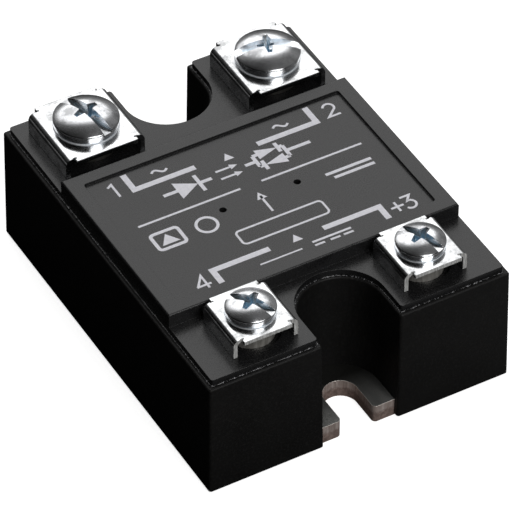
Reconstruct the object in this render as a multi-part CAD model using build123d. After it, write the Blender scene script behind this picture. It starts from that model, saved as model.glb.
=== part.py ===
"""Panel-mount solid state relay with four screw terminals. Millimetres, +Z up.

The origin is the centre of the base plate's underside. +X runs from the left terminals to the
right ones, -Y is the input end (small terminals), +Y is the output end (large terminals).
"""

from build123d import *
import math
import os

# ---------------------------------------------------------------- driving dimensions
INCH = 25.4

# Case, measured at its rim. The walls lean outward towards the foot (mould draft).
CASE_WIDTH = 45.0
CASE_LENGTH = 57.7
CASE_RIM_Z = 18.3
CASE_FOOT_Z = 0.3  # the base plate stands this far proud of the case
CASE_DRAFT = 0.25  # each wall moves out by this much from rim to foot
CASE_CORNER_R = 0.4
CASE_RIM_R = 0.3  # rounding of the rim's outer edge
CASE_WALL = 1.7
LIP_WALL = 0.59  # lip round the cover
LIP_HEIGHT = 1.0

# Mounting notches, one U at each end.
MOUNT_Y = 23.8  # centre of each mounting screw from the origin
NOTCH_R = 5.85
NOTCH_CORNER_R = 0.4
NOTCH_LIP_SAVING = 0.25  # the lip is thinner by this much round the notches

# Base plate.
PLATE_WIDTH = 42.8
PLATE_LENGTH = 56.4
PLATE_THICKNESS = 2.8
PLATE_CORNER_R = 1.0
MOUNT_HOLE_R = 2.45
SLOT_MOUTH_R = 0.6

# Cover: an end ledge for each terminal pair, with a raised plateau between them.
COVER_INSET = 0.67
LEDGE_TOP_Z = 19.3
PLATEAU_TOP_Z = 21.4
PLATEAU_FRONT_Y = -16.9
PLATEAU_BACK_Y = 13.0
COVER_SKIN = 1.8
COVER_EDGE_R = 0.3
PANEL_WIDTH = 39.1
PANEL_FRONT_Y = -14.8
PANEL_BACK_Y = 10.9
PANEL_DEPTH = 0.4
PANEL_CORNER_R = 0.4
VENT_X = 5.65
VENT_Y = -2.2
VENT_R = 0.5
POST_WELL_DEPTH = 0.6  # round recess in the ledge about each input post
POST_WELL_GAP = 0.95  # radial, from the post to the recess's wall
SEAL_BED = 0.15  # sealant under the cover
SEAL_PROUD = 0.06  # sealant that stands above the case's rim

# Terminals, one entry per end: every length that differs between output and input.
THREAD_PITCH = INCH / 32
FIT_GAP = 0.05  # radial running clearance
OUTPUT = dict(
    x=14.0,
    y=20.5,
    clamp_width=11.9,
    clamp_length=12.4,
    clamp_top_z=22.5,
    sheet=0.7,
    bend_r=1.1,
    head_r=4.55,
    head_side=1.2,
    head_height=2.75,
    shank_r=2.08,
    shank_length=9.4,
    slot_width=1.3,
    slot_depth=1.15,
    cross_length=4.1,
    cross_depth=2.0,
    post_r=4.2,
    post_foot_z=11.1,
    rivet_r=2.0,
)
INPUT = dict(
    x=12.7,
    y=-22.1,
    clamp_width=9.5,
    clamp_length=9.4,
    clamp_top_z=22.3,
    sheet=0.6,
    bend_r=1.0,
    head_r=3.42,
    head_side=0.9,
    head_height=2.15,
    shank_r=1.75,
    shank_length=8.6,
    slot_width=1.1,
    slot_depth=0.95,
    cross_length=4.0,
    cross_depth=1.6,
    post_r=3.18,
    post_foot_z=12.3,
    rivet_r=1.2,
)
CLAMP_FOOT_GAP = 0.05  # under the clamp's flanges
TAB_OVERHANG = 0.7  # the clamp's top runs past its flanges by this much at each end
RELIEF_WIDTH = 0.5
RELIEF_DEPTH = 0.12
CLAMP_HOLE_GAP = 0.25  # radial, round the screw
HEAD_EDGE_R = 0.15
HEAD_SHOULDER_R = 0.45
CROWN_FULLNESS = 0.78  # share of the crown's rise that is reached at half its radius
HEAD_OVERLAP = 0.2  # the shank runs this far up into the head
CROSS_TAPER = 0.5  # the cross recess's floor length, as a share of its mouth's
CROSS_BLADE = 0.7  # the cross recess's width, as a share of the slot's
POST_TOP_GAP = 0.05  # between post and clamp
POST_FLOOR = 1.2  # solid metal below the post's blind bore
POST_COLLAR_R = 0.8  # the collar is wider than the post by this much
POST_COLLAR_HEIGHT = 2.0
SHANK_POINT = 0.5  # chamfer on the screw's tip

# Which way each screw's slot points at rest, in degrees from +X.
SLOT_ANGLE = dict(
    output_left=-76.0,
    output_right=-18.0,
    input_left=-57.0,
    input_right=-67.0,
)

# Power stage, stacked up from the base plate.
STAGE_Y = 3.0
SOLDER_THICKNESS = 0.1
CERAMIC_WIDTH = 30.0
CERAMIC_LENGTH = 22.0
CERAMIC_THICKNESS = 0.63
CERAMIC_MARGIN = 1.0  # ceramic left bare round the copper
PAD_GAP = 1.2  # between the two copper pads
PAD_THICKNESS = 0.3
DIE_SIDE = 8.5
DIE_THICKNESS = 0.45
DIE_X = 7.5
DIE_OFFSET_Y = 3.4  # one die behind the stage's centre, the other in front of it
CLIP_THICKNESS = 0.4
CLIP_WIDTH = 4.0
CLIP_RISE = 1.2
CLIP_FOOT = 4.0
CLIP_DIE_REACH = 2.0  # the clip's foot starts this far past the die's centre
CLIP_PAD_SETBACK = 1.0  # from the pad's inner edge to the clip's bend
BUSBAR_THICKNESS = 0.8
BUSBAR_WIDTH = 5.0
BUSBAR_X = 11.2
BUSBAR_FOOT = 1.0
BUSBAR_RISER_Y = 12.4
BUSBAR_TAB_WIDTH = 8.6
BUSBAR_TAB_LENGTH = 8.6

# Trigger circuit.
BOARD_WIDTH = 38.0
BOARD_FRONT_Y = -15.0
BOARD_BACK_Y = 9.5
BOARD_BOTTOM_Z = 8.3
BOARD_THICKNESS = 1.6
BOARD_CORNER_R = 0.8
GATE_PIN_R = 0.4
GATE_PIN_PROUD = 0.6
GATE_X = 4.2
LEAD_WIDTH = 4.2
LEAD_THICKNESS = 0.6
LEAD_BACK_Y = -12.6

# Components on the board: (length in X, width in Y, height), then (x, y) of each centre.
LEG_WIDTH = 0.5
COMPONENT_EDGE = 0.15  # bevel on a moulded body, as a share of its height
OPTO_BODY = (8.6, 6.4, 3.2)
OPTO_PLACE = (0.0, -8.0)
OPTO_STANDOFF = 0.6
OPTO_LEG = (1.0, LEG_WIDTH, 2.4)
OPTO_LEG_PITCH = 2.54
CAPACITOR_BODY = (13.0, 5.0, 5.2)
CAPACITOR_PLACE = (-1.0, 4.6)
CAPACITOR_STANDOFF = 0.3
CAPACITOR_LEG_PITCH = 10.0
CAPACITOR_EDGE_R = 0.5
WIRE_R = 0.35
RESISTOR_R = 1.5
RESISTOR_LENGTH = 8.0
RESISTOR_PLACE = (15.2, -2.0)
RESISTOR_STANDOFF = 0.2
RESISTOR_LEAD_REACH = 1.2  # each lead runs this far past the body before it bends down
RESISTOR_LEAD_BEND_R = 0.8
CHIP_BODY = (3.2, 1.6, 0.6)
CHIP_PLACES = ((-9.0, -3.0), (-5.0, -3.0), (-9.0, 0.0), (8.0, -3.0))
DIODE_BODY = (4.3, 2.6, 2.2)
DIODE_PLACE = (-13.5, -6.5)
TRANSISTOR_R = 2.3
TRANSISTOR_FLAT = 1.4  # distance of the flat face from the axis
TRANSISTOR_HEIGHT = 4.4
TRANSISTOR_LEG_HEIGHT = 1.2
TRANSISTOR_LEG_PITCH = 1.27
TRANSISTOR_PLACE = (10.5, -7.5)

# Potting compound.
POTTING_TOP_Z = 15.9

# Modelling aids.
CUT_MARGIN = 1.0  # a cutting shape runs this far past the face that it opens
NEAR = 0.01  # two coordinates this close count as equal


# ---------------------------------------------------------------- shared shapes
def block(x_range, y_range, z_range):
    """A box between two planes on each axis."""
    lows_and_highs = (x_range, y_range, z_range)
    size = [high - low for low, high in lows_and_highs]
    centre = [(high + low) / 2 for low, high in lows_and_highs]
    return Pos(*centre) * Box(*size)


def rod(radius, z_range, x=0.0, y=0.0):
    """An upright cylinder between two heights."""
    low, high = z_range
    return Pos(x, y, (low + high) / 2) * Cylinder(radius, high - low)


def plan_outline(inset, notch_saving=0.0):
    """The relay's plan: a rectangle with a U notch in each end, its edge moved in by inset.

    Round the notches the edge moves in by notch_saving less.
    """
    half_length = CASE_LENGTH / 2 - inset
    notch_r = NOTCH_R + inset - notch_saving
    outline = RectangleRounded(CASE_WIDTH - 2 * inset, 2 * half_length, CASE_CORNER_R)
    for end in (-1, 1):
        mouth = half_length - MOUNT_Y + CUT_MARGIN
        outline -= Pos(0, end * MOUNT_Y) * Circle(notch_r)
        outline -= Pos(0, end * (MOUNT_Y + mouth / 2)) * Rectangle(2 * notch_r, mouth)
    mouth_corners = outline.vertices().filter_by(
        lambda v: abs(abs(v.X) - notch_r) < NEAR and abs(abs(v.Y) - half_length) < NEAR
    )
    return fillet(mouth_corners, NOTCH_CORNER_R)


def prism(outline, z_range):
    """A flat outline made solid between two heights."""
    low, high = z_range
    return extrude(Pos(0, 0, low) * outline, high - low)


def bent_strip(corners, thickness, width):
    """A metal strip with square bends. corners are (y, z) points along its middle line."""
    strip = Part()
    half = thickness / 2
    for (y1, z1), (y2, z2) in zip(corners, corners[1:]):
        y_range = (min(y1, y2) - half, max(y1, y2) + half)
        z_range = (min(z1, z2) - half, max(z1, z2) + half)
        strip += block((-width / 2, width / 2), y_range, z_range)
    return strip


def save(name, shape):
    """Writes one sub-part to parts/."""
    shape.label = name
    export_step(shape, f"parts/{name}.step")


# ---------------------------------------------------------------- housing
def base_plate():
    plate = prism(RectangleRounded(PLATE_WIDTH, PLATE_LENGTH, PLATE_CORNER_R), (0, PLATE_THICKNESS))
    through = (-CUT_MARGIN, PLATE_THICKNESS + CUT_MARGIN)
    front_y = -PLATE_LENGTH / 2
    for end in (-1, 1):
        plate -= rod(MOUNT_HOLE_R, through, y=end * MOUNT_Y)
    plate -= block((-MOUNT_HOLE_R, MOUNT_HOLE_R), (front_y - CUT_MARGIN, -MOUNT_Y), through)
    mouth = plate.edges().filter_by(Axis.Z).filter_by(
        lambda e: abs(abs(e.center().X) - MOUNT_HOLE_R) < NEAR and abs(e.center().Y - front_y) < NEAR
    )
    return fillet(mouth, SLOT_MOUTH_R)


def lip_outline():
    """The line inside the case's lip."""
    return plan_outline(LIP_WALL, NOTCH_LIP_SAVING)


def cover_outline():
    return plan_outline(COVER_INSET, NOTCH_LIP_SAVING)


def case():
    foot = Pos(0, 0, CASE_FOOT_Z) * plan_outline(-CASE_DRAFT)
    rim = Pos(0, 0, CASE_RIM_Z) * plan_outline(0)
    shell = loft([foot, rim])
    shell = fillet(shell.edges().group_by(Axis.Z)[-1], CASE_RIM_R)
    seat_z = CASE_RIM_Z - LIP_HEIGHT
    shell -= prism(lip_outline(), (seat_z, CASE_RIM_Z + CUT_MARGIN))
    shell -= prism(plan_outline(CASE_WALL), (PLATE_THICKNESS - CUT_MARGIN, seat_z + CUT_MARGIN))
    plate_gap = 2 * FIT_GAP
    rebate = RectangleRounded(
        PLATE_WIDTH + plate_gap, PLATE_LENGTH + plate_gap, PLATE_CORNER_R + FIT_GAP
    )
    return shell - prism(rebate, (-CUT_MARGIN, PLATE_THICKNESS))


def cover():
    underside_z = CASE_RIM_Z - LIP_HEIGHT + SEAL_BED
    ledges = prism(cover_outline(), (underside_z, LEDGE_TOP_Z))
    half_width = CASE_WIDTH / 2 - COVER_INSET
    plateau = block(
        (-half_width, half_width),
        (PLATEAU_FRONT_Y, PLATEAU_BACK_Y),
        (underside_z, PLATEAU_TOP_Z),
    )
    lid = ledges + plateau
    lid = fillet(lid.faces().sort_by(Axis.Z)[-1].edges(), COVER_EDGE_R)
    pocket_width = 2 * (half_width - COVER_SKIN)
    lid -= block(
        (-pocket_width / 2, pocket_width / 2),
        (PLATEAU_FRONT_Y + COVER_SKIN, PLATEAU_BACK_Y - COVER_SKIN),
        (underside_z - CUT_MARGIN, PLATEAU_TOP_Z - COVER_SKIN),
    )
    panel = RectangleRounded(PANEL_WIDTH, PANEL_BACK_Y - PANEL_FRONT_Y, PANEL_CORNER_R)
    panel_y = (PANEL_BACK_Y + PANEL_FRONT_Y) / 2
    panel_z = PLATEAU_TOP_Z - PANEL_DEPTH
    lid -= prism(Pos(0, panel_y) * panel, (panel_z, PLATEAU_TOP_Z + CUT_MARGIN))
    well_r = INPUT["post_r"] + POST_WELL_GAP
    well_z = (LEDGE_TOP_Z - POST_WELL_DEPTH, PLATEAU_TOP_Z)
    for side in (-1, 1):
        lid -= rod(VENT_R, (underside_z, PLATEAU_TOP_Z), x=side * VENT_X, y=VENT_Y)
        lid -= rod(well_r, well_z, x=side * INPUT["x"], y=INPUT["y"])
        for end in (OUTPUT, INPUT):
            hole_z = (underside_z - CUT_MARGIN, PLATEAU_TOP_Z)
            lid -= rod(end["post_r"] + FIT_GAP, hole_z, x=side * end["x"], y=end["y"])
    return lid


def cover_seal():
    seat_z = CASE_RIM_Z - LIP_HEIGHT
    bed = prism(lip_outline() - plan_outline(CASE_WALL), (seat_z, seat_z + SEAL_BED))
    bead = prism(lip_outline() - cover_outline(), (seat_z, CASE_RIM_Z + SEAL_PROUD))
    return bed + bead


# ---------------------------------------------------------------- terminals
def post_top_z(end):
    return end["clamp_top_z"] - end["sheet"] - POST_TOP_GAP


def post_blank(end, tab_thickness):
    """Round post with an embedded collar and a riveted tail, before its bore is made."""
    foot_z = end["post_foot_z"]
    blank = rod(end["post_r"], (foot_z, post_top_z(end)))
    blank += rod(end["post_r"] + POST_COLLAR_R, (foot_z, foot_z + POST_COLLAR_HEIGHT))
    return blank + rod(end["rivet_r"], (foot_z - tab_thickness, foot_z))


def post_bore(end):
    """Blind bore for the terminal screw."""
    return rod(end["shank_r"] + FIT_GAP, (end["post_foot_z"] + POST_FLOOR, post_top_z(end)))


def saddle_clamp(end):
    """Sheet clamp: a flat top with a screw hole, and a flange bent down on each side."""
    sheet = end["sheet"]
    width = end["clamp_width"]
    top_z = end["clamp_top_z"]
    foot_z = LEDGE_TOP_Z + CLAMP_FOOT_GAP
    height = top_z - foot_z
    flange_length = end["clamp_length"] - 2 * TAB_OVERHANG

    outer = Rectangle(width, height, align=(Align.CENTER, Align.MIN))
    outer = fillet(outer.vertices().group_by(Axis.Y)[-1], end["bend_r"])
    inner = Rectangle(width - 2 * sheet, height - sheet, align=(Align.CENTER, Align.MIN))
    inner = fillet(inner.vertices().group_by(Axis.Y)[-1], end["bend_r"] - sheet)
    section = Plane.XZ * (outer - inner)
    clamp = extrude(Pos(0, flange_length / 2, foot_z) * section, flange_length)

    tab_half = width / 2 - end["bend_r"] - RELIEF_WIDTH / 2
    tab_y = end["clamp_length"] / 2
    clamp += block((-tab_half, tab_half), (-tab_y, tab_y), (top_z - sheet, top_z))
    for side in (-1, 1):
        for face in (-1, 1):
            relief = Box(RELIEF_WIDTH, 2 * RELIEF_DEPTH, 2 * sheet)
            clamp -= Pos(side * tab_half, face * flange_length / 2, top_z) * relief
    return clamp - rod(end["shank_r"] + CLAMP_HOLE_GAP, (foot_z, top_z + CUT_MARGIN))


def screw_head(end):
    """Domed head standing on z = 0."""
    radius = end["head_r"]
    side = end["head_side"]
    crown_mid = (radius / 2, side + CROWN_FULLNESS * (end["head_height"] - side))
    outline = Polyline((0, 0), (radius - HEAD_EDGE_R, 0), (radius, HEAD_EDGE_R), (radius, side))
    crown = ThreePointArc((radius, side), crown_mid, (0, end["head_height"]))
    axis_line = Line((0, end["head_height"]), (0, 0))
    section = make_face(outline + crown + axis_line)
    shoulder = section.vertices().sort_by(lambda v: math.hypot(v.X - radius, v.Y - side))[0]
    section = fillet(shoulder, HEAD_SHOULDER_R)
    return revolve(Plane.XZ * section, Axis.Z)


def screw_recess(end):
    """Full-width slot crossed by a shorter, deeper, tapered cross recess."""
    top = end["head_height"]
    width = end["slot_width"]
    above = top + CUT_MARGIN
    slot_half = end["head_r"] + CUT_MARGIN
    recess = block((-slot_half, slot_half), (-width / 2, width / 2), (top - end["slot_depth"], above))
    half_top = end["cross_length"] / 2
    half_bottom = CROSS_TAPER * half_top
    floor_z = top - end["cross_depth"]
    blade = make_face(
        Polyline(
            (-half_bottom, floor_z), (half_bottom, floor_z), (half_top, top), (half_top, above),
            (-half_top, above), (-half_top, top), close=True,
        )
    )
    blade = extrude(Plane.XZ * blade, CROSS_BLADE * width / 2, both=True)
    return recess + blade + Rot(0, 0, 90) * blade


def terminal_screw(end, slot_angle):
    head = screw_head(end) - screw_recess(end)
    shank = rod(end["shank_r"], (-end["shank_length"], HEAD_OVERLAP))
    shank = chamfer(shank.edges().group_by(Axis.Z)[0], SHANK_POINT)
    screw = Rot(0, 0, slot_angle) * (head + shank)
    return Pos(0, 0, end["clamp_top_z"]) * screw


# ---------------------------------------------------------------- power stage
CERAMIC_Z = PLATE_THICKNESS + SOLDER_THICKNESS
PAD_Z = CERAMIC_Z + CERAMIC_THICKNESS
PAD_TOP_Z = PAD_Z + PAD_THICKNESS
DIE_TOP_Z = PAD_TOP_Z + DIE_THICKNESS
PAD_OUTER_X = CERAMIC_WIDTH / 2 - CERAMIC_MARGIN
PAD_HALF_LENGTH = CERAMIC_LENGTH / 2 - CERAMIC_MARGIN


def solder_layer():
    stage_y = (STAGE_Y - PAD_HALF_LENGTH, STAGE_Y + PAD_HALF_LENGTH)
    return block((-PAD_OUTER_X, PAD_OUTER_X), stage_y, (PLATE_THICKNESS, CERAMIC_Z))


def ceramic_substrate():
    half_width = CERAMIC_WIDTH / 2
    half_length = CERAMIC_LENGTH / 2
    stage_y = (STAGE_Y - half_length, STAGE_Y + half_length)
    return block((-half_width, half_width), stage_y, (CERAMIC_Z, PAD_Z))


def copper_pad(side):
    inner, outer = sorted((side * PAD_GAP / 2, side * PAD_OUTER_X))
    stage_y = (STAGE_Y - PAD_HALF_LENGTH, STAGE_Y + PAD_HALF_LENGTH)
    return block((inner, outer), stage_y, (PAD_Z, PAD_TOP_Z))


def die_centre(side):
    """The left die sits towards the output end, the right one towards the input end."""
    return side * DIE_X, STAGE_Y - side * DIE_OFFSET_Y


def thyristor_die(side):
    x, y = die_centre(side)
    half = DIE_SIDE / 2
    return block((x - half, x + half), (y - half, y + half), (PAD_TOP_Z, DIE_TOP_Z))


def cathode_clip(side):
    """Bridge from the top of one die down to the other side's pad."""
    x, y = die_centre(side)
    half = CLIP_THICKNESS / 2
    on_die = side * x + CLIP_DIE_REACH
    bridge_start = on_die - CLIP_FOOT
    bridge_end = -PAD_GAP / 2 - CLIP_PAD_SETBACK
    bridge_z = DIE_TOP_Z + CLIP_RISE
    corners = (
        (on_die, DIE_TOP_Z + half),
        (bridge_start, DIE_TOP_Z + half),
        (bridge_start, bridge_z),
        (bridge_end, bridge_z),
        (bridge_end, PAD_TOP_Z + half),
        (bridge_end - CLIP_FOOT, PAD_TOP_Z + half),
    )
    strip = bent_strip(corners, CLIP_THICKNESS, CLIP_WIDTH)
    return Pos(0, y, 0) * Rot(0, 0, -90 * side) * strip


def busbar(side):
    """Strip from the pad up behind the circuit board and back under the output post."""
    half = BUSBAR_THICKNESS / 2
    top_z = OUTPUT["post_foot_z"] - half
    corners = (
        (BUSBAR_RISER_Y - BUSBAR_FOOT, PAD_TOP_Z + half),
        (BUSBAR_RISER_Y, PAD_TOP_Z + half),
        (BUSBAR_RISER_Y, top_z),
        (OUTPUT["y"], top_z),
    )
    strip = Pos(side * BUSBAR_X, 0, 0) * bent_strip(corners, BUSBAR_THICKNESS, BUSBAR_WIDTH)
    tab = Pos(side * OUTPUT["x"], OUTPUT["y"], top_z) * Box(
        BUSBAR_TAB_WIDTH, BUSBAR_TAB_LENGTH, BUSBAR_THICKNESS
    )
    through = (top_z - CUT_MARGIN, top_z + CUT_MARGIN)
    return strip + tab - rod(OUTPUT["rivet_r"], through, x=side * OUTPUT["x"], y=OUTPUT["y"])


# ---------------------------------------------------------------- trigger circuit
BOARD_TOP_Z = BOARD_BOTTOM_Z + BOARD_THICKNESS


def gate_pin_places():
    """Each gate pin stands near its die's inner edge, clear of the clip."""
    for side in (-1, 1):
        x, y = die_centre(side)
        yield side * GATE_X, y - side * (DIE_SIDE / 2 - 2 * GATE_PIN_R)


def gate_pins():
    pin_z = (DIE_TOP_Z, BOARD_TOP_Z + GATE_PIN_PROUD)
    return Compound(children=[rod(GATE_PIN_R, pin_z, x=x, y=y).solid() for x, y in gate_pin_places()])


def circuit_board():
    length = BOARD_BACK_Y - BOARD_FRONT_Y
    outline = Pos(0, (BOARD_BACK_Y + BOARD_FRONT_Y) / 2) * RectangleRounded(
        BOARD_WIDTH, length, BOARD_CORNER_R
    )
    board = prism(outline, (BOARD_BOTTOM_Z, BOARD_TOP_Z))
    through = (BOARD_BOTTOM_Z - CUT_MARGIN, BOARD_TOP_Z + CUT_MARGIN)
    for x, y in gate_pin_places():
        board -= rod(GATE_PIN_R, through, x=x, y=y)
    return board


def input_lead(side):
    """Strip from under the input post to the circuit board."""
    half = LEAD_THICKNESS / 2
    top_z = INPUT["post_foot_z"] - half
    corners = (
        (INPUT["y"] - LEAD_WIDTH / 2, top_z),
        (LEAD_BACK_Y, top_z),
        (LEAD_BACK_Y, BOARD_TOP_Z + half),
    )
    strip = Pos(side * INPUT["x"], 0, 0) * bent_strip(corners, LEAD_THICKNESS, LEAD_WIDTH)
    through = (top_z - CUT_MARGIN, top_z + CUT_MARGIN)
    return strip - rod(INPUT["rivet_r"], through, x=side * INPUT["x"], y=INPUT["y"])


def moulded_body(size, place, standoff=0.0):
    """A moulded component over the board, its top edges bevelled."""
    height = size[2]
    body = Pos(*place, BOARD_TOP_Z + standoff + height / 2) * Box(*size)
    return chamfer(body.edges().group_by(Axis.Z)[-1], COMPONENT_EDGE * height)


def optocoupler():
    """Six-legged isolator that straddles the gap between input and output."""
    x, y = OPTO_PLACE
    body = moulded_body(OPTO_BODY, OPTO_PLACE, OPTO_STANDOFF)
    leg = Box(*OPTO_LEG)
    row_y = (OPTO_BODY[1] + OPTO_LEG[1]) / 2
    for side in (-1, 1):
        for column in (-1, 0, 1):
            leg_x = x + column * OPTO_LEG_PITCH
            body += Pos(leg_x, y + side * row_y, BOARD_TOP_Z + OPTO_LEG[2] / 2) * leg
    return body


def snubber_capacitor():
    """Boxed film capacitor on two wire legs."""
    x, y = CAPACITOR_PLACE
    foot_z = BOARD_TOP_Z + CAPACITOR_STANDOFF
    body = Pos(x, y, foot_z + CAPACITOR_BODY[2] / 2) * Box(*CAPACITOR_BODY)
    rounded = body.edges().filter_by(Axis.Z) + body.edges().group_by(Axis.Z)[-1]
    body = fillet(rounded, CAPACITOR_EDGE_R)
    for side in (-1, 1):
        body += rod(WIRE_R, (BOARD_TOP_Z, foot_z), x=x + side * CAPACITOR_LEG_PITCH / 2, y=y)
    return body


def snubber_resistor():
    """Axial resistor lying along Y on one wire, which bends down to the board at each end."""
    x, y = RESISTOR_PLACE
    axis_z = BOARD_TOP_Z + RESISTOR_R + RESISTOR_STANDOFF
    body = fillet(Cylinder(RESISTOR_R, RESISTOR_LENGTH).edges(), RESISTOR_R / 3)
    reach = RESISTOR_LENGTH / 2 + RESISTOR_LEAD_REACH
    path = FilletPolyline(
        (x, y - reach, BOARD_TOP_Z),
        (x, y - reach, axis_z),
        (x, y + reach, axis_z),
        (x, y + reach, BOARD_TOP_Z),
        radius=RESISTOR_LEAD_BEND_R,
    )
    wire = sweep(Pos(x, y - reach, BOARD_TOP_Z) * Circle(WIRE_R), path=path)
    return Pos(x, y, axis_z) * Rot(90, 0, 0) * body + wire


def chip_resistors():
    return Compound(children=[moulded_body(CHIP_BODY, place).solid() for place in CHIP_PLACES])


def protection_diode():
    return moulded_body(DIODE_BODY, DIODE_PLACE)


def input_transistor():
    """Half-round transistor on three legs, its flat face towards -Y."""
    x, y = TRANSISTOR_PLACE
    side = 2 * TRANSISTOR_R
    outline = Circle(TRANSISTOR_R) - Pos(0, -TRANSISTOR_FLAT - side / 2) * Rectangle(side, side)
    foot_z = BOARD_TOP_Z + TRANSISTOR_LEG_HEIGHT
    body = prism(Pos(x, y) * outline, (foot_z, foot_z + TRANSISTOR_HEIGHT))
    leg = Box(LEG_WIDTH, LEG_WIDTH, TRANSISTOR_LEG_HEIGHT)
    for column in (-1, 0, 1):
        leg_x = x + column * TRANSISTOR_LEG_PITCH
        body += Pos(leg_x, y, BOARD_TOP_Z + TRANSISTOR_LEG_HEIGHT / 2) * leg
    return body


# ---------------------------------------------------------------- potting
def potting_compound(embedded):
    """Fills the case round everything that stands in it."""
    fill = prism(plan_outline(CASE_WALL), (PLATE_THICKNESS, POTTING_TOP_Z))
    for shape in embedded:
        fill -= shape
    return fill


# ---------------------------------------------------------------- build
def build():
    shapes = {}
    shapes["solder_layer"] = solder_layer()
    shapes["ceramic_substrate"] = ceramic_substrate()
    shapes["circuit_board"] = circuit_board()
    shapes["gate_pins"] = gate_pins()
    shapes["optocoupler"] = optocoupler()
    shapes["snubber_capacitor"] = snubber_capacitor()
    shapes["snubber_resistor"] = snubber_resistor()
    shapes["chip_resistors"] = chip_resistors()
    shapes["protection_diode"] = protection_diode()
    shapes["input_transistor"] = input_transistor()
    for hand, side in (("left", -1), ("right", 1)):
        shapes[f"copper_pad_{hand}"] = copper_pad(side)
        shapes[f"thyristor_die_{hand}"] = thyristor_die(side)
        shapes[f"cathode_clip_{hand}"] = cathode_clip(side)
        shapes[f"output_busbar_{hand}"] = busbar(side)
        shapes[f"input_lead_{hand}"] = input_lead(side)
        output_place = Pos(side * OUTPUT["x"], OUTPUT["y"], 0)
        input_place = Pos(side * INPUT["x"], INPUT["y"], 0)
        shapes[f"output_post_{hand}"] = output_place * post_blank(OUTPUT, BUSBAR_THICKNESS)
        shapes[f"input_post_{hand}"] = input_place * post_blank(INPUT, LEAD_THICKNESS)
    shapes["potting_compound"] = potting_compound(list(shapes.values()))
    shapes["base_plate"] = base_plate()
    shapes["case"] = case()
    shapes["cover"] = cover()
    shapes["cover_seal"] = cover_seal()
    for hand, side in (("left", -1), ("right", 1)):
        for name, end in (("output", OUTPUT), ("input", INPUT)):
            place = Pos(side * end["x"], end["y"], 0)
            shapes[f"{name}_post_{hand}"] -= place * post_bore(end)
            shapes[f"{name}_clamp_{hand}"] = place * saddle_clamp(end)
            angle = SLOT_ANGLE[f"{name}_{hand}"]
            shapes[f"{name}_screw_{hand}"] = place * terminal_screw(end, angle)
    return shapes


os.makedirs("parts", exist_ok=True)
for part_name, part_shape in build().items():
    save(part_name, part_shape)
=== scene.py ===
"""Looks of the panel-mount solid state relay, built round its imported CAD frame.

The CAD nodes keep their shape and get procedural materials. The screws are rebuilt with threads and
combination recesses, and the printed legend and the squeezed-out sealant are added.
"""

import itertools
import math

import bmesh
import bpy
from mathutils import Matrix, Vector, noise


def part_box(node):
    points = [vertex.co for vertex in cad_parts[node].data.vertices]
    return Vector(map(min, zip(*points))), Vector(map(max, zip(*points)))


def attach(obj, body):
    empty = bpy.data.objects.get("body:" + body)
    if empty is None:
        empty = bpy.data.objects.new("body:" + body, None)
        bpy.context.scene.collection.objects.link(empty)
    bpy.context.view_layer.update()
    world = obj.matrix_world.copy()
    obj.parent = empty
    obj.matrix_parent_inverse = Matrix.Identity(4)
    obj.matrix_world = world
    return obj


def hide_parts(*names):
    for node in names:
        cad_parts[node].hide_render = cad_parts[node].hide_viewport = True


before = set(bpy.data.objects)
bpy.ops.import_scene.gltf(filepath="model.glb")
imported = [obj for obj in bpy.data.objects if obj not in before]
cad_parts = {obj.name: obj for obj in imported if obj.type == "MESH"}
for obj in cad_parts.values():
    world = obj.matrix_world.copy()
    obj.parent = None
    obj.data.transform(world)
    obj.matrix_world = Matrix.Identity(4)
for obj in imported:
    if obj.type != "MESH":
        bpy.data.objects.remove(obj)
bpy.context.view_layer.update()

MM = 0.001
HANDS = ("left", "right")
ENDS = ("output", "input")

# Driving dimensions, in millimetres.
THREAD_PITCH = 25.4 / 32
PANEL_DEPTH = 0.4
INK_THICKNESS = 0.02
INK_STEP = 0.003  # strokes that cross differ in thickness by this much
INK_LAYERS = 5
LIP_WALL = 0.59
COVER_INSET = 0.67
NOTCH_LIP_SAVING = 0.25
NOTCH_R = 5.85
MOUNT_Y = 23.8
CASE_CORNER_R = 0.4
BEAD_R = 0.15
BEAD_STEP = 0.15
SPECK_LAYER = 5.0  # the bead's lumps read the noise at this height, its wander at zero

# Screws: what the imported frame's boxes don't say.
SCREWS = {
    "output": dict(
        side=1.3, shank_r=2.08, slot_width=1.4, slot_depth=1.65, cross=2.05, cross_depth=2.3,
    ),
    "input": dict(
        side=1.08, shank_r=1.75, slot_width=1.15, slot_depth=1.1, cross=1.9, cross_depth=1.95,
    ),
}
FLANGE_SETBACK = 0.02  # the flange at the head's foot is this much smaller than its shoulder
FLANGE_HEIGHT = 0.1
FLANGE_WIDTH = 0.1
FLANGE_EDGE = 0.02
FOOT_R = 0.03
SHOULDER_R = 0.3
SHOULDER_DROP = 0.2  # the shoulder's centre lies this far under the head's nominal side height
CROSS_ROOT = 0.6  # half width of the cross recess's arms at the middle
CROSS_TIP = 0.32  # and at their ends
CROSS_TAPER = 0.42  # size of the recess's floor, as a share of its mouth
SLOT_ANGLE = {
    "output_left": -76.0,
    "output_right": -18.0,
    "input_left": -57.0,
    "input_right": -67.0,
}

# Surfaces.
HOLLOW_ROUGHNESS = 0.28  # bright plating is rougher inside recesses by this much
PLATE_NOTCH_SHADE = (0.021, 0.028)  # painted shade on the plate's top: dark towards the middle, plain beyond, between these distances from the middle, metres
UPRIGHT = (1.0, 1.0, 0.12)  # stretches a texture into upright lines
SOFT_SAMPLES = 6  # samples of rounded edges and of hollows

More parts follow.
